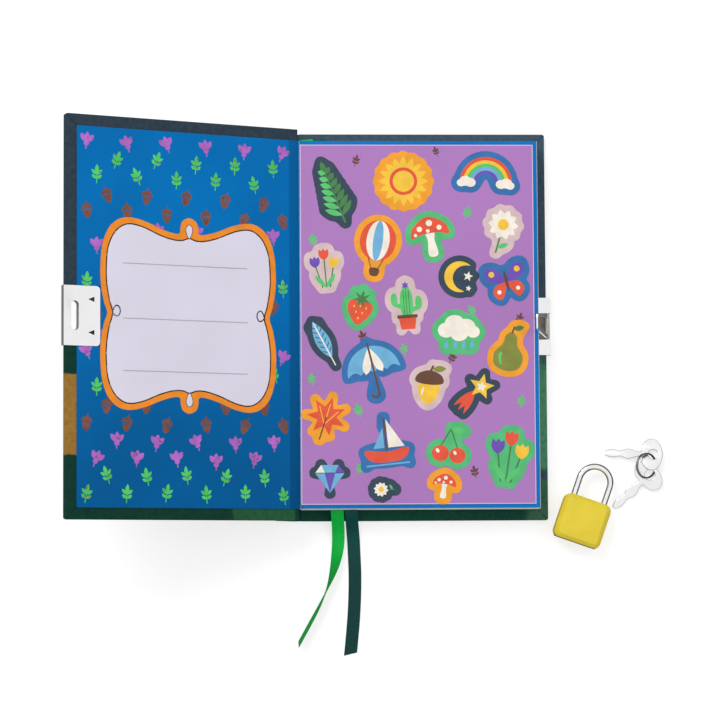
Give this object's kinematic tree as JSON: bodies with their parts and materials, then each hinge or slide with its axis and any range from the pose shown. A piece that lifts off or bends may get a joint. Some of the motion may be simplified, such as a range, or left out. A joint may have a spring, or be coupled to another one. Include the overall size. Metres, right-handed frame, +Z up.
{
  "type": "diary",
  "caption": "Hardback diary lying open, with hinged covers, a block of pages, hasp and staple, ribbon markers, a small padlock and keys on a ring.",
  "frame": {"origin": "middle of the back cover's underside, the face that the book lies on", "axes": "+X from the spine to the fore-edge, +Y to the head of the book, +Z up from the table"},
  "size_m": [0.2905, 0.2559, 0.0695],
  "materials": {
    "greyboard": "matte",
    "cover_green": "satin",
    "cover_slate": "satin",
    "endpaper_blue": "satin",
    "sheet_purple": "gloss",
    "page_paper": "matte",
    "lining_cloth": "matte",
    "chrome": "polished",
    "steel": "satin",
    "brass": "satin",
    "yellow_plastic": "satin",
    "ribbon_green": "gloss",
    "ribbon_teal": "gloss"
  },
  "bodies": {
    "back_cover": {"back_cover_board": "greyboard", "back_cover_wrap": "cover_green", "back_cover_pastedown": "endpaper_blue", "staple_bracket": "chrome"},
    "text_block": {"signature_5": "page_paper", "signature_6": "page_paper", "signature_7": "page_paper", "signature_8": "page_paper", "back_flyleaf": "endpaper_blue", "spine_lining": "lining_cloth", "green_ribbon_inside": "ribbon_green", "teal_ribbon_inside": "ribbon_teal", "green_ribbon": "ribbon_green", "teal_ribbon": "ribbon_teal"},
    "spine": {"spine_board": "greyboard", "spine_wrap": "cover_slate"},
    "front_cover": {"front_cover_board": "greyboard", "front_cover_wrap": "cover_green", "front_cover_pastedown": "endpaper_blue", "hasp_plate": "chrome"},
    "front_pages": {"signature_1": "page_paper", "signature_2": "page_paper", "signature_3": "page_paper", "signature_4": "page_paper"},
    "flyleaf": {"front_flyleaf": "endpaper_blue"},
    "sticker_page": {"sticker_sheet": "sheet_purple"},
    "staple": {"staple": "chrome"},
    "padlock": {"padlock_jacket": "yellow_plastic", "padlock_core": "brass", "shackle_spring": "steel"},
    "lock_plug": {"lock_plug": "brass"},
    "latch": {"latch": "steel"},
    "shackle": {"shackle": "chrome"},
    "key_ring": {"split_ring": "steel"},
    "key_1": {"key_1": "chrome"},
    "key_2": {"key_2": "chrome"}
  },
  "joints": [
    {"name": "block_turn", "type": "hinge", "parent": "back_cover", "child": "text_block", "pos_m": [-0.06295, 0, 0.0037], "axis": [0, -1, 0], "range_deg": [0, 45]},
    {"name": "cover_turn", "type": "hinge", "parent": "text_block", "child": "front_cover", "pos_m": [-0.06295, 0, 0.01899], "axis": [0, -1, 0], "range_deg": [-155.3, 24.7]},
    {"name": "spine_turn", "type": "hinge", "parent": "text_block", "child": "spine", "pos_m": [-0.06295, 0, 0.0037], "axis": [0, -1, 0], "range_deg": [-34.2, 5.6]},
    {"name": "front_pages_turn", "type": "hinge", "parent": "text_block", "child": "front_pages", "pos_m": [-0.0627, 0, 0.01944], "axis": [0, -1, 0], "range_deg": [0, 144]},
    {"name": "flyleaf_turn", "type": "hinge", "parent": "text_block", "child": "flyleaf", "pos_m": [-0.0627, 0, 0.01944], "axis": [0, -1, 0], "range_deg": [0, 148.1]},
    {"name": "sticker_page_turn", "type": "hinge", "parent": "text_block", "child": "sticker_page", "pos_m": [-0.0627, 0, 0.01944], "axis": [0, -1, 0], "range_deg": [0, 151.1]},
    {"name": "staple_swing", "type": "hinge", "parent": "back_cover", "child": "staple", "pos_m": [0.05927, 0, 0.00147], "axis": [0, 1, 0], "range_deg": [0, 100]},
    {"name": "padlock_lift", "type": "slide", "parent": "back_cover", "child": "padlock", "axis": [0, 0, 1], "range_m": [0, 0.06]},
    {"name": "plug_turn", "type": "hinge", "parent": "padlock", "child": "lock_plug", "pos_m": [0.0743, -0.0957, 0.006], "axis": [0.3305, 0.9438, 0], "range_deg": [0, 90.2]},
    {"name": "latch_slide", "type": "slide", "parent": "padlock", "child": "latch", "axis": [-0.9438, 0.3305, 0], "range_m": [0, 0.00245]},
    {"name": "shackle_slide", "type": "slide", "parent": "padlock", "child": "shackle", "axis": [0.3305, 0.9438, 0], "range_m": [0, 0.0068]},
    {"name": "ring_lift", "type": "slide", "parent": "back_cover", "child": "key_ring", "axis": [0, 0, 1], "range_m": [0, 0.09]},
    {"name": "key_1_swing", "type": "hinge", "parent": "key_ring", "child": "key_1", "pos_m": [0.10905, -0.06326, 0.00265], "axis": [-0.7482, 0.4274, 0.5074], "range_deg": [0, 25]},
    {"name": "key_2_swing", "type": "hinge", "parent": "key_ring", "child": "key_2", "pos_m": [0.10878, -0.07401, 0.00225], "axis": [-0.7699, -0.4262, 0.4751], "range_deg": [0, 28]}
  ],
  "couplings": [
    {"joint": "spine_turn", "follows": "cover_turn", "ratio": 0.21893},
    {"joint": "flyleaf_turn", "follows": "front_pages_turn", "ratio": 1.0278},
    {"joint": "sticker_page_turn", "follows": "front_pages_turn", "ratio": 1.0486},
    {"joint": "plug_turn", "follows": "shackle_slide", "rad_per_m": 231},
    {"joint": "latch_slide", "follows": "shackle_slide", "ratio": 0.35294}
  ]
}
